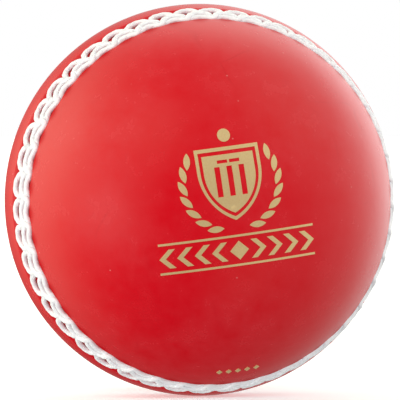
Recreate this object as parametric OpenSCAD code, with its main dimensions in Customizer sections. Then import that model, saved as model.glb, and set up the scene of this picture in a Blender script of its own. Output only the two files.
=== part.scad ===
// Moulded training cricket ball: two plastic cups over a cork and rubber core,
// sewn together by thread that runs in a sunken channel on each side of a raised joint.
// Origin at the centre of the ball. The front pole, with the foil crest, faces -Y.
// The joint between the cups lies in the plane Y = 0.

/* [Ball] */
// Diameter over the smooth domes of the two cups
dome_d = 71.4; // [68:0.1:74]
// How far the rounded welt along the joint stands above the domes
welt_rise = 0.5; // [0.3:0.1:1]
// Width of the welt on each cup, measured along the surface from the joint
welt_w = 4.8; // [3.5:0.1:5.4]
// Bevel at the joint edge of each welt
joint_bevel = 0.3; // [0.1:0.05:0.4]
// Wall thickness of the cups
cup_wall = 5; // [3.5:0.5:8]

/* [Stitching] */
// Distance along the surface from the joint to the outer edge of the stitching
seam_half_w = 13; // [13:0.1:14]
// Depth of the stitching channel below the domes
channel_depth = 0.9; // [0.3:0.05:1.1]
// Thickness of the thread
thread_d = 1; // [0.6:0.05:1.2]
// Width of the chain-stitched row
chain_w = 3.2; // [2:0.1:3.2]
// Width of the row of arched stitches beside the welt
loops_w = 3.8; // [2.5:0.1:3.8]
// Number of lacing threads that cross the joint
lacing_count = 44; // [36:1:52]
// Depth of the lacing threads below the domes, at the joint
lacing_depth = 1.5; // [1.3:0.1:1.9]

/* [Foil] */
// Thickness of the foil
foil_t = 0.1; // [0.05:0.05:0.2]
// Turn of the whole foil mark about the front pole, in degrees
mark_turn = 7.5; // [-30:0.5:30]
// Shift of the crest and the band to the right of the pole
mark_x = 0.5; // [-2:0.1:2]
// Width of the crest's shield
shield_w = 11.5; // [9:0.5:13]
// Height of the crest's centre above the pole
crest_y = 3.9; // [3.5:0.1:5]
// Number of leaves in each spray beside the shield
leaf_count = 7; // [5:1:8]
// Radius of the arc that the leaves stand on
spray_r = 8.6; // [8.2:0.1:9]
// Width of the ornamental band under the crest
band_w = 28; // [22:1:32]
// Height of the band's centre, below the pole
band_y = -8; // [-9:0.1:-7.8]
// Number of chevrons on each side of the band's centre diamond
chevron_count = 4; // [3:1:4]
// Angle from the front pole down to the small row of diamonds
small_row_angle = 58.6; // [54:0.1:62]
// Number of diamonds in the small row
small_row_count = 5; // [3:1:7]

/* [Hidden] */
$fn = 180;

dome_r = dome_d / 2;
welt_r = dome_r + welt_rise;
core_r = dome_r - cup_wall;
floor_r = dome_r - channel_depth;
crown_r = floor_r + thread_d;
lacing_r = dome_r - lacing_depth;
far = 2 * dome_r;

// Angle at the ball's centre that a distance along the dome's surface spans
function span(length) = length / dome_r * 180 / PI;

welt_a = 90 - span(welt_w);
seam_a = 90 - span(seam_half_w);
thread_gap_a = span(0.2);
chain_a = seam_a + thread_gap_a;
loops_a = welt_a - thread_gap_a - span(loops_w);

red = "#c8202c";
thread_white = "#f1efea";
foil_gold = "#cdb27a";

// ---- Outlines in the half plane right of the pole axis, which points along +Y there

module wedge(a0, a1) {
    polygon([[0, 0], [far * sin(a0), far * cos(a0)], [far * sin(a1), far * cos(a1)]]);
}

module ring_between(r0, r1, a0, a1) {
    intersection() {
        difference() {
            circle(r1);
            circle(r0);
        }
        wedge(a0, a1);
    }
}

// The welt: an arc that falls from its crown at the joint to the level of the dome at its foot
module welt_outline() {
    foot = [dome_r * sin(welt_a), dome_r * cos(welt_a)];
    fall = welt_r - foot.x;
    arc_r = (fall * fall + foot.y * foot.y) / (2 * fall);
    intersection() {
        translate([welt_r - arc_r, 0])
            circle(arc_r);
        wedge(welt_a, 90);
    }
}

module cup_outline() {
    difference() {
        union() {
            intersection() {
                circle(dome_r);
                square(far);
            }
            welt_outline();
        }
        circle(core_r);
        ring_between(floor_r, far, seam_a, welt_a);
        translate([welt_r, 0])
            rotate(45)
                square(joint_bevel * sqrt(2), center = true);
    }
}

// ---- Placing: each of these is drawn with its pole along +Z and then turned to face front or back

module facing_front() {
    rotate([90, 0, 0])
        children();
}

module facing_back() {
    mirror([0, 1, 0])
        facing_front()
            children();
}

// ---- Core and cups

module core() {
    color("#7a5a40")
        sphere(core_r);
}

module lacing_run(clear_len) {
    for (i = [0 : lacing_count - 1])
        rotate(i * 360 / lacing_count)
            translate([lacing_r, 0, 0])
                cylinder(h = clear_len, d = thread_d, center = true, $fn = 24);
}

module cup() {
    difference() {
        rotate_extrude()
            cup_outline();
        lacing_run(dome_r);
    }
}

module front_cup() {
    color(red)
        facing_front()
            cup();
}

module back_cup() {
    color(red)
        facing_back()
            cup();
}

// ---- Thread

module thread_row(a0, width) {
    color(thread_white)
        rotate_extrude()
            ring_between(floor_r, crown_r, a0, a0 + span(width));
}

module front_chain() {
    facing_front()
        thread_row(chain_a, chain_w);
}

module front_loops() {
    facing_front()
        thread_row(loops_a, loops_w);
}

module back_loops() {
    facing_back()
        thread_row(loops_a, loops_w);
}

module back_chain() {
    facing_back()
        thread_row(chain_a, chain_w);
}

module seam_lacing() {
    color(thread_white)
        facing_front()
            intersection() {
                lacing_run(dome_r);
                sphere(floor_r);
            }
}

// ---- Foil mark on the front dome: flat shapes, pressed onto the sphere down from the pole by an angle

module on_dome(down = 0) {
    color(foil_gold)
        facing_front()
            rotate(mark_turn)
                rotate([down, 0, 0])
                    intersection() {
                        difference() {
                            sphere(dome_r + foil_t);
                            sphere(dome_r);
                        }
                        linear_extrude(far)
                            children();
                    }
}

// A heater shield, centred: straight shoulders over two arcs that meet in a point
module shield(w) {
    half = w / 2;
    shoulder = 0.35 * w;
    drop = 0.78 * w;
    side_r = (half * half + drop * drop) / w;
    translate([0, (drop - shoulder) / 2]) {
        translate([-half, 0])
            square([w, shoulder]);
        intersection() {
            translate([half - side_r, 0])
                circle(side_r);
            translate([side_r - half, 0])
                circle(side_r);
            translate([-half, -drop])
                square([w, drop + 0.01]);
        }
    }
}

// Three stumps with two bails across their tops
module wicket() {
    stump_w = 0.085 * shield_w;
    stump_h = 0.46 * shield_w;
    foot_y = -0.19 * shield_w;
    pitch = 0.19 * shield_w;
    bail_w = 0.84 * pitch;
    bail_h = 0.05 * shield_w;
    for (i = [-1 : 1])
        translate([i * pitch - stump_w / 2, foot_y])
            square([stump_w, stump_h]);
    for (side = [-1, 1])
        translate([(side * pitch - bail_w) / 2, foot_y + stump_h + bail_h])
            square([bail_w, bail_h]);
}

// A pointed leaf: the lens that two equal circles share
module leaf(length, width) {
    r = (length * length + width * width) / (4 * width);
    intersection() {
        translate([0, r - width / 2])
            circle(r);
        translate([0, width / 2 - r])
            circle(r);
    }
}

module diamond(w, h) {
    polygon([[-w / 2, 0], [0, -h / 2], [w / 2, 0], [0, h / 2]]);
}

// The shield's outline, with a small ball above it
module crest_rim() {
    ball_y = 0.74 * shield_w;
    on_dome()
        translate([mark_x, crest_y]) {
            difference() {
                shield(shield_w);
                shield(0.9 * shield_w);
            }
            translate([0, ball_y])
                circle(0.1 * shield_w);
        }
}

module crest_plate() {
    on_dome()
        translate([mark_x, crest_y])
            difference() {
                shield(0.8 * shield_w);
                wicket();
            }
}

module crest_sprays() {
    first_a = -64;
    last_a = 33;
    lean = 64;
    leaf_l = 3;
    leaf_w = 1.15;
    on_dome()
        translate([mark_x, crest_y])
            for (side = [0, 1])
                mirror([side, 0])
                    for (i = [0 : leaf_count - 1])
                        rotate(first_a + i * (last_a - first_a) / (leaf_count - 1))
                            translate([spray_r, 0])
                                rotate(lean)
                                    leaf(leaf_l, leaf_w);
}

module chevron(w, h) {
    polygon([[0, 0], [w, 0], [w + h / 2, h / 2], [w, h], [0, h], [h / 2, h / 2]]);
}

module foil_band() {
    rule_t = 0.4;
    rule_gap = 0.7;
    row_h = 3.4;
    chevron_w = 1.1;
    first_x = 2.1;
    pitch = (band_w / 2 - first_x - chevron_w - row_h / 2) / (chevron_count - 1);
    on_dome()
        translate([mark_x, band_y]) {
            for (side = [-1, 1])
                translate([-band_w / 2, side * (row_h / 2 + rule_gap) - (1 - side) / 2 * rule_t])
                    square([band_w, rule_t]);
            diamond(row_h, row_h);
            for (side = [0, 1])
                mirror([side, 0])
                    for (i = [0 : chevron_count - 1])
                        translate([first_x + i * pitch, -row_h / 2])
                            chevron(chevron_w, row_h);
        }
}

module foil_small_row() {
    pitch = 1.7;
    on_dome(small_row_angle)
        for (i = [0 : small_row_count - 1])
            translate([(i - (small_row_count - 1) / 2) * pitch, 0])
                diamond(1.1, 1.5);
}

core();
front_cup();
back_cup();
front_chain();
front_loops();
back_loops();
back_chain();
seam_lacing();
crest_rim();
crest_plate();
crest_sprays();
foil_band();
foil_small_row();
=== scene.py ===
import math
import random

import bpy
import numpy as np
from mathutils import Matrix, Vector


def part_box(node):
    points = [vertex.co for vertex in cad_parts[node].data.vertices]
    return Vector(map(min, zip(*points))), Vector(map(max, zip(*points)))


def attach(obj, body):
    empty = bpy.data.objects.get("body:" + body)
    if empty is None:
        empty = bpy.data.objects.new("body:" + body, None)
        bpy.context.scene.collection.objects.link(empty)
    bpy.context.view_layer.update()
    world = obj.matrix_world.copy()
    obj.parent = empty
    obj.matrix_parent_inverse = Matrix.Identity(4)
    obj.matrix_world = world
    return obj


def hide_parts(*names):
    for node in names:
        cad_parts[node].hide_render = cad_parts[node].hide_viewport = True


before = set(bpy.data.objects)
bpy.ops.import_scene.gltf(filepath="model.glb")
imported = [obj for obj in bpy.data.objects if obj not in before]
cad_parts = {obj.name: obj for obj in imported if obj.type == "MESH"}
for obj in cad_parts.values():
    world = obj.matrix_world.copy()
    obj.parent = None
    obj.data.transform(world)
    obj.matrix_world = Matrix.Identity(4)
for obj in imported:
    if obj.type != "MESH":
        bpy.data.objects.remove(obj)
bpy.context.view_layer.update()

# ---- Sizes. Places on the ball are given by side, azimuth and v. The side is +1 for the front cup, whose
# pole is at -Y, and -1 for the back cup. The azimuth turns about the Y axis from +X to +Z, and v is the
# distance in mm along the dome from the joint between the cups to the point. A name that ends in _V is such a
# distance, and one that ends in _R is a radius.
MM = 0.001
FRONT, BACK = 1, -1
WELT_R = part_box("front_cup")[1].z
DOME_R = -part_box("front_cup")[0].y
CORE_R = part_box("core")[1].z
CHANNEL_DEPTH = 0.9 * MM
FLOOR_R = DOME_R - CHANNEL_DEPTH   # bottom of the stitching channel
POLE_V = DOME_R / MM * math.pi / 2
WELT_V = 4.2                       # where the welt starts to fall to the channel
WELT_FOOT_V = 5.2
WELT_FALL = 0.65 * MM              # how far the rounded welt falls from the joint to there
LIP_V = 12.2                       # where the channel's floor starts to rise to the dome
LIP_TOP_V = 13.4
LIP_BULGE = 0.3                    # mm by which the lip steps back at each turn of the chain-stitched row
GROOVE_V = 0.28                    # half width of the groove along the joint
GROOVE_DEPTH = 0.26 * MM
PAINTED_SHADE_V = 15.1                     # how far the painted shade reaches onto the dome between two stitches
PAINTED_SHADE_DIP = 1.3                    # mm by which it reaches less far at each turn of the row
PAINTED_SHADE_FADE = (1.4, 0.4)            # mm over which it fades, before and after its edge
TURN_REACH = 1.2                   # mm around the ball over which a turn of the row changes lip and painted shade

THREAD_WIDE, THREAD_TALL = 0.61 * MM, 0.49 * MM   # half sizes of the pressed thread
PLIES = 3
PLY_GROOVE = 0.13                  # depth of the grooves between the plies, as a share of the half size
TWIST_MM = 4.5                     # length of one full turn of the plies
WOBBLE = 0.04                      # how much the thread's thickness varies
CHAIN_COUNT = 44                   # stitches around each side
CHAIN_START = math.radians(-0.9)
CUSP_SHARE = 0.05                  # where each stitch turns round, as a share of a stitch past its end
ARCH_COUNT = 46
ARCH_START = math.radians(-1.2)
HOLE_V = 11.0
HOLE_R = 0.42                      # mm
HOLE_DEPTH = 0.9 * MM


def body_point(side, azimuth, v, r):
    """Points in metres from arrays of azimuths in radians, v in mm and radii in metres."""
    pole_angle = math.pi / 2 - np.asarray(v, float) * MM / DOME_R
    azimuth, r = np.asarray(azimuth, float), np.asarray(r, float)
    ring = r * np.sin(pole_angle)
    return np.stack(np.broadcast_arrays(
        ring * np.cos(azimuth), -side * r * np.cos(pole_angle), ring * np.sin(azimuth)), axis=-1)


def smooth(edge0, edge1, x):
    """0 up to edge0, 1 from edge1, and a smooth step between them."""
    t = np.clip((np.asarray(x, float) - edge0) / (edge1 - edge0), 0, 1)
    return t * t * (3 - 2 * t)


# ---- Meshes made of rings

def ring_faces(counts, starts):
    """Faces between neighbouring rings of points. A ring may have as many points as the one before it, half
    or twice as many, or be a single point."""
    faces = []
    for na, nb, sa, sb in zip(counts, counts[1:], starts, starts[1:]):
        if na == nb:
            faces += [(sa + i, sa + (i + 1) % na, sb + (i + 1) % nb, sb + i) for i in range(na)]
        elif na == 1:
            faces += [(sa, sb + (i + 1) % nb, sb + i) for i in range(nb)]
        elif nb == 1:
            faces += [(sa + i, sa + (i + 1) % na, sb) for i in range(na)]
        elif na == 2 * nb:
            faces += [(sa + 2 * i, sa + 2 * i + 1, sa + (2 * i + 2) % na, sb + (i + 1) % nb, sb + i)
                      for i in range(nb)]
        elif nb == 2 * na:
            faces += [(sa + i, sa + (i + 1) % na, sb + (2 * i + 2) % nb, sb + 2 * i + 1, sb + 2 * i)
                      for i in range(na)]
    return faces


def make_object(name, points, faces, material):
    mesh = bpy.data.meshes.new(name)
    mesh.from_pydata(points.tolist(), [], faces)
    mesh.polygons.foreach_set("use_smooth", [True] * len(mesh.polygons))
    mesh.materials.append(material)
    mesh.update()
    piece = bpy.data.objects.new(name, mesh)
    bpy.context.scene.collection.objects.link(piece)
    return piece


# ---- Cups

POINTS_PER_STITCH = 24   # points around a cup for each chain stitch, in the rings near the joint
# The rings over the dome, from the channel to the pole: last v, how many times fewer points, number of rings.
DOME_RINGS = ((18, 2, 6), (38, 4, 26), (47, 8, 12), (52, 16, 7), (55.4, 32, 6))
INNER_RINGS = 24


def from_cusp(azimuth):
    """Distance in mm around the ball to the nearest turn of the chain-stitched row."""
    stitches = (azimuth - CHAIN_START) * CHAIN_COUNT / (2 * math.pi)
    share = (stitches - CUSP_SHARE + 0.5) % 1 - 0.5
    return share * 2 * math.pi * DOME_R / MM * math.cos(HOLE_V * MM / DOME_R) / CHAIN_COUNT


def cup_radius(azimuth, v):
    """Radius of a cup's outer surface."""
    to_hole = from_cusp(azimuth)
    lip = LIP_V + LIP_BULGE * np.exp(-(to_hole / TURN_REACH) ** 2)
    channel = smooth(WELT_V, WELT_FOOT_V, v) * (1 - smooth(lip, lip + LIP_TOP_V - LIP_V, v))
    top = np.where(v < (WELT_FOOT_V + LIP_V) / 2, WELT_R - WELT_FALL * (v / WELT_V) ** 2, DOME_R)
    r = top + (FLOOR_R - top) * channel
    r = r - GROOVE_DEPTH * (1 - smooth(0, GROOVE_V, v))
    off_hole = np.hypot(to_hole, v - HOLE_V)
    return r - HOLE_DEPTH * (1 - smooth(0.5 * HOLE_R, 1.5 * HOLE_R, off_hole))


def painted_shade(points):
    """How much painted shade each point gets: in the channel, and on its lip between the stitches."""
    r = np.linalg.norm(points, axis=1)
    v = np.arcsin(np.clip(np.abs(points[:, 1]) / r, 0, 1)) * DOME_R / MM
    to_turn = from_cusp(np.arctan2(points[:, 2], points[:, 0]))
    edge = PAINTED_SHADE_V - PAINTED_SHADE_DIP * np.exp(-(to_turn / TURN_REACH) ** 2)
    before, after = PAINTED_SHADE_FADE
    spread = smooth(WELT_V + 0.4, WELT_FOOT_V, v) * (1 - smooth(edge - before, edge + after, v))
    return np.where(r > (DOME_R + CORE_R) / 2, spread, 0)


def cup_rings(side):
    """Rings of points from the outer pole over the dome to the joint, and back inside to the inner pole."""
    fine = CHAIN_COUNT * POINTS_PER_STITCH
    # Close together in the groove, wider over the welt, and close again through the channel and its lip.
    rows = [(v, fine) for v in np.concatenate([
        np.linspace(0, 0.4, 9)[:-1], np.linspace(0.4, 4, 10)[:-1], np.linspace(4, 15, 75)])]
    for end_v, fewer, steps in DOME_RINGS:
        start_v = rows[-1][0]
        rows += [(start_v + (end_v - start_v) * (i + 1) / steps, fine // fewer) for i in range(steps)]
    rings = []
    for v, count in rows:
        azimuth = np.arange(count) * 2 * math.pi / count
        rings.append(body_point(side, azimuth, v, cup_radius(azimuth, np.full(count, v))))
    rings.reverse()
    rings.insert(0, body_point(side, [0.0], [POLE_V], [DOME_R]))
    # The face of the joint, from the dome's side to the core's.
    count = fine
    for r in (0.85 * DOME_R + 0.15 * CORE_R, 0.3 * DOME_R + 0.7 * CORE_R, CORE_R):
        count //= 2
        azimuth = np.arange(count) * 2 * math.pi / count
        rings.append(body_point(side, azimuth, np.zeros(count), np.full(count, r)))
    for i in range(1, INNER_RINGS):
        v = np.full(count, POLE_V * i / INNER_RINGS)
        rings.append(body_point(side, azimuth, v, np.full(count, CORE_R)))
    rings.append(body_point(side, [0.0], [POLE_V], [CORE_R]))
    return rings


def make_cup(name, side, material):
    rings = cup_rings(side)
    counts = [len(r) for r in rings]
    starts = np.concatenate([[0], np.cumsum(counts)[:-1]]).tolist()
    points, faces = np.concatenate(rings), ring_faces(counts, starts)
    if side == FRONT:
        faces = [tuple(reversed(f)) for f in faces]
    piece = make_object(name, points, faces, material)
    piece.data.attributes.new("painted_shade", "FLOAT", "POINT").data.foreach_set("value", painted_shade(points))
    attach(piece, "root")
    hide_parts(name)


# ---- Thread

SIDES = 16               # points around a thread
RING_STEP = 0.17 * MM    # distance between its rings of points
CURVE_STEPS = 12         # steps of the curve between two points of a path


def resample(points, step):
    """A smooth curve through the points, as evenly spaced points, and its length."""
    p = np.asarray(points, float)
    p = np.vstack([2 * p[0] - p[1], p, 2 * p[-1] - p[-2]])
    dense = []
    ts = np.linspace(0, 1, CURVE_STEPS, endpoint=False)[:, None]
    for a, b, c, d in zip(p, p[1:], p[2:], p[3:]):
        dense.append(0.5 * (2 * b + (c - a) * ts + (2 * a - 5 * b + 4 * c - d) * ts ** 2
                            + (3 * b - a - 3 * c + d) * ts ** 3))
    dense = np.vstack(dense + [p[-2:-1]])
    along = np.concatenate([[0], np.cumsum(np.linalg.norm(np.diff(dense, axis=0), axis=1))])
    count = max(int(round(along[-1] / step)), 8)
    at = np.linspace(0, along[-1], count + 1)
    return np.stack([np.interp(at, along, dense[:, k]) for k in range(3)], axis=-1), along[-1]


class ThreadMesh:
    """Collects tubes of twisted thread into one mesh."""

    def __init__(self, rng):
        self.points, self.faces, self.fibre, self.total = [], [], [], 0
        self.rng = rng

    def add(self, path):
        """Adds one thread with rounded ends, whose centre line follows the path."""
        centre, length = resample(path, RING_STEP)
        n = len(centre)
        tangent = np.gradient(centre, axis=0)
        tangent /= np.linalg.norm(tangent, axis=1)[:, None]
        up = centre / np.linalg.norm(centre, axis=1)[:, None]
        across = np.cross(tangent, up)
        across /= np.linalg.norm(across, axis=1)[:, None]
        up = np.cross(across, tangent)
        turns = length / MM / TWIST_MM
        twist = (np.arange(n) / (n - 1)) * turns * 2 * math.pi + self.rng.uniform(0, 6)
        around = np.arange(SIDES) * 2 * math.pi / SIDES
        own = around[None, :] - twist[:, None]
        lobes = 1 - PLY_GROOVE * (1 - np.abs(np.cos(PLIES / 2 * own)) ** 0.8)
        wave = np.sin(np.arange(n) * RING_STEP / MM * 1.7 + self.rng.uniform(0, 6))
        wobble = 1 + WOBBLE * wave[:, None]
        cap = np.arange(n) * RING_STEP / THREAD_WIDE
        ends = np.sqrt(np.clip(1 - np.clip(1 - cap - 0.15, 0, 1) ** 2, 0.05, 1))
        ends = np.minimum(ends, ends[::-1])
        thick = lobes * wobble * ends[:, None]
        rings = (centre[:, None, :] + thick[:, :, None] * (
            THREAD_WIDE * np.cos(around)[None, :, None] * across[:, None, :]
            + THREAD_TALL * np.sin(around)[None, :, None] * up[:, None, :]))
        along = (np.arange(n) * length / n / MM)[:, None] * np.ones(SIDES)[None, :]
        along = along + self.rng.uniform(0, 50)
        fibre = np.stack([np.cos(own), np.sin(own), along], axis=-1)
        first_tip = self.total + n * SIDES
        counts = [1] + [SIDES] * n + [1]
        starts = [first_tip] + [self.total + i * SIDES for i in range(n)] + [first_tip + 1]
        self.faces += ring_faces(counts, starts)
        self.points.append(np.vstack([rings.reshape(-1, 3), centre[:1], centre[-1:]]))
        self.fibre.append(np.vstack([fibre.reshape(-1, 3), [[0, 0, 0], [0, 0, length / MM]]]))
        self.total += n * SIDES + 2

    def build(self, name, material):
        points = np.concatenate(self.points)
        piece = make_object(name, points, self.faces, material)
        fibre = piece.data.attributes.new("fibre", "FLOAT_VECTOR", "POINT")
        fibre.data.foreach_set("vector", np.concatenate(self.fibre).ravel())
        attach(piece, "root")
        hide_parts(name)


def strand(side, start, end, shape):
    """Points of one stitch. shape is a list of (share of the way from start to end azimuth, v in mm, height
    of the thread's centre line above the channel's floor in mm)."""
    share, v, height = np.array(shape, float).T
    return body_point(side, start + (end - start) * share, v, FLOOR_R + height * MM)


def make_chain(name, side, material, seed):
    """The chain-stitched row. Each strand comes up through a hole, arches over to the next hole, turns round
    at the dome's edge, follows that edge and goes down through the hole after that."""
    rng = random.Random(seed)
    thread = ThreadMesh(rng)
    pitch = 2 * math.pi / CHAIN_COUNT
    for k in range(CHAIN_COUNT):
        a = CHAIN_START + k * pitch + rng.uniform(-0.005, 0.005)
        over, edge = rng.uniform(-0.15, 0.15), rng.uniform(-0.1, 0.1)
        thread.add(strand(side, a, a + pitch, [
            (0.03, 10.4, -0.4), (0.04, 10.15, 0.1), (0.09, 9.85, 0.4), (0.20, 9.4 + over, 0.5),
            (0.36, 9.1 + over, 0.52), (0.52, 9.05 + over, 0.54), (0.66, 9.25 + over, 0.56),
            (0.77, 9.75, 0.64), (0.86, 10.55, 0.78), (0.93, 11.4, 0.82), (0.99, 12.05, 0.72),
            (1.06, 12.3, 0.58), (1.16, 11.95, 0.52), (1.32, 11.4 + edge, 0.5), (1.52, 11.15 + edge, 0.5),
            (1.70, 11.3 + edge, 0.46), (1.83, 11.6, 0.3), (1.91, 11.65, 0.02), (1.95, 11.5, -0.4)]))
    thread.build(name, material)


def make_arches(name, side, material, seed):
    """The row of arched stitches beside the welt. Their feet go down beside the chain-stitched row."""
    rng = random.Random(seed)
    thread = ThreadMesh(rng)
    pitch = 2 * math.pi / ARCH_COUNT
    for k in range(ARCH_COUNT):
        a = ARCH_START + k * pitch + rng.uniform(-0.01, 0.01)
        top, lean = rng.uniform(-0.2, 0.2), rng.uniform(-0.05, 0.05)
        thread.add(strand(side, a, a + pitch, [
            (0.09, 9.0, -0.35), (0.05, 8.6, 0.1), (0.05, 8.0, 0.35), (0.10, 7.1, 0.4),
            (0.20 + lean, 6.0 + top, 0.45), (0.36 + lean, 5.5 + top, 0.48), (0.57 + lean, 5.45 + top, 0.48),
            (0.75 + lean, 5.85 + top, 0.45), (0.88, 6.9, 0.4), (0.95, 7.8, 0.35), (0.95, 8.5, 0.15),
            (0.90, 8.9, -0.35)]))
    thread.build(name, material)


# ---- Materials

RED = (0.67, 0.0002, 0.0088)
DUSTY_RED = (0.71, 0.036, 0.048)
SCRATCHED_RED = (0.57, 0.0004, 0.008)
# The darker red of the painted shade along the stitching.
PAINTED_SHADE_RED = (0.56, 0.0006, 0.007)
DUST = (0.80, 0.30, 0.29)


def new_material(name):
    material = bpy.data.materials.new(name)
    material.use_nodes = True
    nodes, links = material.node_tree.nodes, material.node_tree.links
    return material, nodes, links, nodes["Principled BSDF"]


def node(nodes, kind, **values):
    """A new node. Each value sets a property of that name, or else the input of that name."""
    made = nodes.new(kind)
    for key, value in values.items():
        if hasattr(made, key):
            setattr(made, key, value)
        else:
            made.inputs[key.replace("_", " ")].default_value = value
    return made


def noise(nodes, links, vector, scale, detail, roughness=0.5):
    made = node(nodes, "ShaderNodeTexNoise", Scale=scale, Detail=detail, Roughness=roughness)
    links.new(vector, made.inputs["Vector"])
    return made.outputs["Fac"]


def ramp(nodes, links, value, stops):
    made = nodes.new("ShaderNodeValToRGB")
    while len(made.color_ramp.elements) < len(stops):
        made.color_ramp.elements.new(0.5)
    for element, (place, colour) in zip(made.color_ramp.elements, stops):
        element.position = place
        element.color = (*colour, 1)
    links.new(value, made.inputs["Fac"])
    return made.outputs["Color"]


def map_range(nodes, links, value, low, high, to_low, to_high):
    made = node(nodes, "ShaderNodeMapRange", From_Min=low, From_Max=high, To_Min=to_low, To_Max=to_high)
    links.new(value, made.inputs["Value"])
    return made.outputs["Result"]


def bump(nodes, links, shader, height, strength, distance, under=None):
    made = node(nodes, "ShaderNodeBump", Strength=strength, Distance=distance)
    links.new(height, made.inputs["Height"])
    if under is not None:
        links.new(under, made.inputs["Normal"])
    links.new(made.outputs["Normal"], shader.inputs["Normal"])
    return made.outputs["Normal"]


def mix(nodes, links, share, first, second):
    made = node(nodes, "ShaderNodeMix", data_type="RGBA")
    links.new(share, made.inputs["Factor"])
    for socket, value in (("A", first), ("B", second)):
        if isinstance(value, tuple):
            made.inputs[socket].default_value = (*value, 1)
        else:
            links.new(value, made.inputs[socket])
    return made.outputs["Result"]


def multiply(nodes, links, first, second):
    made = node(nodes, "ShaderNodeMath", operation="MULTIPLY")
    links.new(first, made.inputs[0])
    links.new(second, made.inputs[1])
    return made.outputs["Value"]


def red_plastic():
    """Glossy moulded PVC that has been handled: a thin dusty film in patches, long fine scratches, a few
    specks of dust, painted shade along the stitching, slow waves and a faint orange peel."""
    material, nodes, links, shader = new_material("red_plastic")
    place = nodes.new("ShaderNodeTexCoord").outputs["Object"]
    patches = map_range(nodes, links, noise(nodes, links, place, 55, 1), 0.35, 0.65, 0.4, 1)
    cloud = noise(nodes, links, place, 230, 6, 0.68)
    film = multiply(nodes, links, map_range(nodes, links, cloud, 0.3, 1, 0, 1), patches)
    colour = mix(nodes, links, film, RED, DUSTY_RED)

    bend = node(nodes, "ShaderNodeTexNoise", Scale=30.0, Detail=2.0)
    links.new(place, bend.inputs["Vector"])
    bent = node(nodes, "ShaderNodeVectorMath", operation="MULTIPLY_ADD")
    links.new(bend.outputs["Color"], bent.inputs[0])
    bent.inputs[1].default_value = (0.05, 0.05, 0.05)
    links.new(place, bent.inputs[2])
    lines = node(nodes, "ShaderNodeTexVoronoi", feature="DISTANCE_TO_EDGE", Scale=38.0)
    links.new(bent.outputs["Vector"], lines.inputs["Vector"])
    here = map_range(nodes, links, noise(nodes, links, place, 60, 3), 0.54, 0.68, 0, 0.7)
    on_line = map_range(nodes, links, lines.outputs["Distance"], 0, 0.02, 1, 0)
    scratch = multiply(nodes, links, on_line, here)
    colour = mix(nodes, links, scratch, colour, SCRATCHED_RED)

    dust = node(nodes, "ShaderNodeTexVoronoi", Scale=300.0)
    links.new(place, dust.inputs["Vector"])
    chosen = map_range(nodes, links, dust.outputs["Color"], 0.62, 0.64, 0, 0.5)
    at_centre = map_range(nodes, links, dust.outputs["Distance"], 0.03, 0.06, 1, 0)
    colour = mix(nodes, links, multiply(nodes, links, at_centre, chosen), colour, DUST)
    # Painted shade along the stitching channel and its lip: darker red and less gloss there.
    shade_share = node(nodes, "ShaderNodeAttribute", attribute_name="painted_shade").outputs["Fac"]
    colour = mix(nodes, links, shade_share, colour, PAINTED_SHADE_RED)
    links.new(colour, shader.inputs["Base Color"])

    links.new(map_range(nodes, links, shade_share, 0, 1, 0.5, 0.06), shader.inputs["Specular IOR Level"])
    links.new(map_range(nodes, links, cloud, 0, 1, 0.14, 0.36), shader.inputs["Roughness"])
    shader.inputs["IOR"].default_value = 1.5
    wave = noise(nodes, links, place, 90, 1)
    under = bump(nodes, links, shader, wave, 0.3, 0.0004)
    under = bump(nodes, links, shader, scratch, 0.4, -0.00004, under)
    peel = noise(nodes, links, place, 900, 3)
    bump(nodes, links, shader, peel, 0.12, 0.0001, under)
    return material


def white_thread():
    """Twisted thread: fine fibres along the plies, soft and slightly see-through, with a faint glow of
    painted light that brightens it."""
    material, nodes, links, shader = new_material("white_thread")
    fibre = node(nodes, "ShaderNodeAttribute", attribute_name="fibre").outputs["Vector"]
    stretch = node(nodes, "ShaderNodeMapping")
    stretch.inputs["Scale"].default_value = (5, 5, 0.9)
    links.new(fibre, stretch.inputs["Vector"])
    hairs = noise(nodes, links, stretch.outputs["Vector"], 1.5, 4, 0.7)
    links.new(ramp(nodes, links, hairs, [(0.25, (0.84, 0.85, 0.91)), (0.65, (0.92, 0.93, 0.99))]),
              shader.inputs["Base Color"])
    shader.inputs["Roughness"].default_value = 0.75
    shader.inputs["Sheen Weight"].default_value = 0.3
    shader.inputs["Subsurface Weight"].default_value = 0.4
    shader.inputs["Subsurface Radius"].default_value = (1, 1, 1)
    shader.inputs["Subsurface Scale"].default_value = 0.0005
    # A faint glow: painted light that brightens the thread, not a lamp.
    shader.inputs["Emission Color"].default_value = (0.85, 0.93, 1, 1)
    shader.inputs["Emission Strength"].default_value = 0.07
    bump(nodes, links, shader, hairs, 0.5, 0.0001)
    return material


def lacing_thread():
    """The same thread where it runs inside the cups."""
    material, nodes, links, shader = new_material("lacing_thread")
    place = nodes.new("ShaderNodeTexCoord").outputs["Object"]
    hairs = noise(nodes, links, place, 2500, 4, 0.7)
    links.new(ramp(nodes, links, hairs, [(0.3, (0.70, 0.68, 0.65)), (0.65, (0.88, 0.87, 0.85))]),
              shader.inputs["Base Color"])
    shader.inputs["Roughness"].default_value = 0.8
    bump(nodes, links, shader, hairs, 0.5, 0.0002)
    return material


def gold_foil():
    """Pale gold stamped foil: satin, with a fine grain."""
    material, nodes, links, shader = new_material("gold_foil")
    place = nodes.new("ShaderNodeTexCoord").outputs["Object"]
    grain = noise(nodes, links, place, 3600, 3, 0.6)
    links.new(ramp(nodes, links, grain, [(0.3, (0.94, 0.66, 0.32)), (0.7, (1.0, 0.76, 0.40))]),
              shader.inputs["Base Color"])
    shader.inputs["Metallic"].default_value = 0.5
    links.new(map_range(nodes, links, grain, 0.3, 0.7, 0.42, 0.32), shader.inputs["Roughness"])
    bump(nodes, links, shader, grain, 0.3, 0.0001)
    return material


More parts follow.
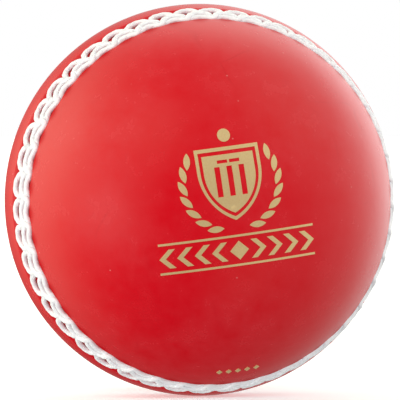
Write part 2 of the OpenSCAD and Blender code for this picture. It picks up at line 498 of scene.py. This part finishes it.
def core_composition():
    """Pressed cork granules in dark rubber."""
    material, nodes, links, shader = new_material("core_rubber")
    place = nodes.new("ShaderNodeTexCoord").outputs["Object"]
    grains = node(nodes, "ShaderNodeTexVoronoi", Scale=420.0)
    links.new(place, grains.inputs["Vector"])
    links.new(ramp(nodes, links, grains.outputs["Distance"], [
        (0.15, (0.33, 0.19, 0.09)), (0.4, (0.20, 0.11, 0.06)), (0.7, (0.05, 0.035, 0.03))]),
        shader.inputs["Base Color"])
    shader.inputs["Roughness"].default_value = 0.9
    bump(nodes, links, shader, grains.outputs["Distance"], 0.6, 0.0003)
    return material


def dress_node(name, material):
    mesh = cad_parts[name].data
    mesh.materials.clear()
    mesh.materials.append(material)


# ---- The ball

plastic = red_plastic()
thread = white_thread()
make_cup("front_cup", FRONT, plastic)
make_cup("back_cup", BACK, plastic)
make_chain("front_chain", FRONT, thread, 11)
make_arches("front_loops", FRONT, thread, 12)
make_arches("back_loops", BACK, thread, 13)
make_chain("back_chain", BACK, thread, 14)
dress_node("core", core_composition())
dress_node("seam_lacing", lacing_thread())
foil = gold_foil()
for foil_node in ("crest_rim", "crest_plate", "crest_sprays", "foil_band", "foil_small_row"):
    dress_node(foil_node, foil)


# ---- Camera, floor and light

CAMERA_AZIMUTH, CAMERA_ELEVATION = math.radians(-9), math.radians(1.6)
CAMERA_DISTANCE = 20 * WELT_R
HALF_PICTURE = 1.0206   # half the picture's width at the ball, in radii of the welt
HALF_VIEW = HALF_PICTURE * WELT_R / CAMERA_DISTANCE
FLOOR_RADIUS = 4.0
FLOOR_CORNERS = 64


def direction(azimuth, elevation):
    return Vector((math.sin(azimuth) * math.cos(elevation), -math.cos(azimuth) * math.cos(elevation),
                   math.sin(elevation)))


def aimed(obj, place):
    """Puts a camera or light at a place, facing the ball's centre."""
    obj.location = place
    obj.rotation_euler = (-place).to_track_quat("-Z", "Y").to_euler()
    bpy.context.scene.collection.objects.link(obj)
    return obj


def make_camera():
    lens = bpy.data.cameras.new("camera")
    lens.sensor_width = 36
    lens.lens = lens.sensor_width / 2 / HALF_VIEW
    lens.clip_start = 0.01
    place = direction(CAMERA_AZIMUTH, CAMERA_ELEVATION) * CAMERA_DISTANCE
    bpy.context.scene.camera = aimed(bpy.data.objects.new("camera", lens), place)


def make_floor():
    """A white disc under the ball. It shows the contact shadow and gives the ball neither light nor shade."""
    material, nodes, links, shader = new_material("floor")
    shader.inputs["Base Color"].default_value = (0.95, 0.95, 0.95, 1)
    shader.inputs["Roughness"].default_value = 0.9
    shader.inputs["Emission Color"].default_value = (1, 1, 1, 1)
    shader.inputs["Emission Strength"].default_value = 0.4
    mesh = bpy.data.meshes.new("floor")
    rim = [Vector((math.cos(a), math.sin(a), 0)) * FLOOR_RADIUS + Vector((0, 0, -WELT_R))
           for a in np.linspace(0, 2 * math.pi, FLOOR_CORNERS, endpoint=False)]
    mesh.from_pydata(rim, [], [tuple(range(FLOOR_CORNERS))])
    mesh.materials.append(material)
    floor = bpy.data.objects.new("floor", mesh)
    bpy.context.scene.collection.objects.link(floor)
    for ray in ("visible_diffuse", "visible_glossy", "visible_shadow"):
        setattr(floor, ray, False)


# Soft lobes of light around the ball, named by where they lie: azimuth and elevation in degrees, brightness,
# sharpness and tint. Azimuth 0 is in front of the front pole, and 90 is to the right as the camera sees it.
# The lobes and the fills were not chosen by hand: a separate program fitted them to the shading of the dome in
# the photo. A few were then changed, and all are rounded.
DIM = 0.045
WARM, CREAM, WHITE = (1, 0.97, 0.74), (1, 0.99, 0.90), (1, 1, 1)
LOBES = {
    "left": (-110, 20, 1.9, 6, WARM),
    "front_left": (-65, -5, 1.0, 17, CREAM),
    "low_left": (-120, -25, 0.5, 13, WARM),
    "high_left": (-45, 40, 0.7, 14, WARM),
    "high_back": (160, 55, 1.2, 13, CREAM),
    "high_right": (60, 50, 0.5, 6, WARM),
    "right": (105, 5, 0.75, 2.3, CREAM),
    "back_right": (135, 15, 1.6, 7, WHITE),
    "low_front": (25, -40, 0.3, 18, WARM),
}
# Soft fill lights that leave no highlight: azimuth and elevation in degrees, and strength.
FILLS = {"fill_below": (-110, -40, 1.2), "fill_front": (0, 0, 1.7), "fill_above": (-85, 40, 0.65)}
FILL_ANGLE = math.radians(60)


def make_world():
    """A pure white backdrop for the camera. The ball sees the lobes of light over a dim grey instead."""
    world = bpy.data.worlds.new("world")
    bpy.context.scene.world = world
    world.use_nodes = True
    nodes, links = world.node_tree.nodes, world.node_tree.links
    towards = nodes.new("ShaderNodeTexCoord").outputs["Generated"]
    total = node(nodes, "ShaderNodeCombineXYZ", X=DIM, Y=DIM, Z=DIM).outputs["Vector"]
    for name, (azimuth, elevation, brightness, sharpness, tint) in LOBES.items():
        dot = node(nodes, "ShaderNodeVectorMath", operation="DOT_PRODUCT")
        links.new(towards, dot.inputs[0])
        dot.inputs[1].default_value = direction(math.radians(azimuth), math.radians(elevation))
        power = node(nodes, "ShaderNodeMath", operation="MULTIPLY_ADD")
        links.new(dot.outputs["Value"], power.inputs[0])
        power.inputs[1].default_value = sharpness
        power.inputs[2].default_value = math.log(brightness) - sharpness
        lobe = node(nodes, "ShaderNodeMath", operation="EXPONENT", label=name)
        links.new(power.outputs["Value"], lobe.inputs[0])
        added = node(nodes, "ShaderNodeVectorMath", operation="MULTIPLY_ADD")
        links.new(lobe.outputs["Value"], added.inputs[0])
        added.inputs[1].default_value = tint
        links.new(total, added.inputs[2])
        total = added.outputs["Vector"]
    seen = node(nodes, "ShaderNodeMix", data_type="RGBA")
    links.new(nodes.new("ShaderNodeLightPath").outputs["Is Camera Ray"], seen.inputs["Factor"])
    links.new(total, seen.inputs["A"])
    seen.inputs["B"].default_value = (1, 1, 1, 1)
    links.new(seen.outputs["Result"], nodes["Background"].inputs["Color"])


def make_fills():
    for name, (azimuth, elevation, strength) in FILLS.items():
        light = bpy.data.lights.new(name, "SUN")
        light.energy = strength
        light.angle = FILL_ANGLE
        light.cycles.use_multiple_importance_sampling = False
        place = direction(math.radians(azimuth), math.radians(elevation))
        fill = aimed(bpy.data.objects.new(name, light), place)
        fill.visible_glossy = False


make_camera()
make_world()
make_fills()
make_floor()
bpy.context.scene.view_settings.view_transform = "Standard"
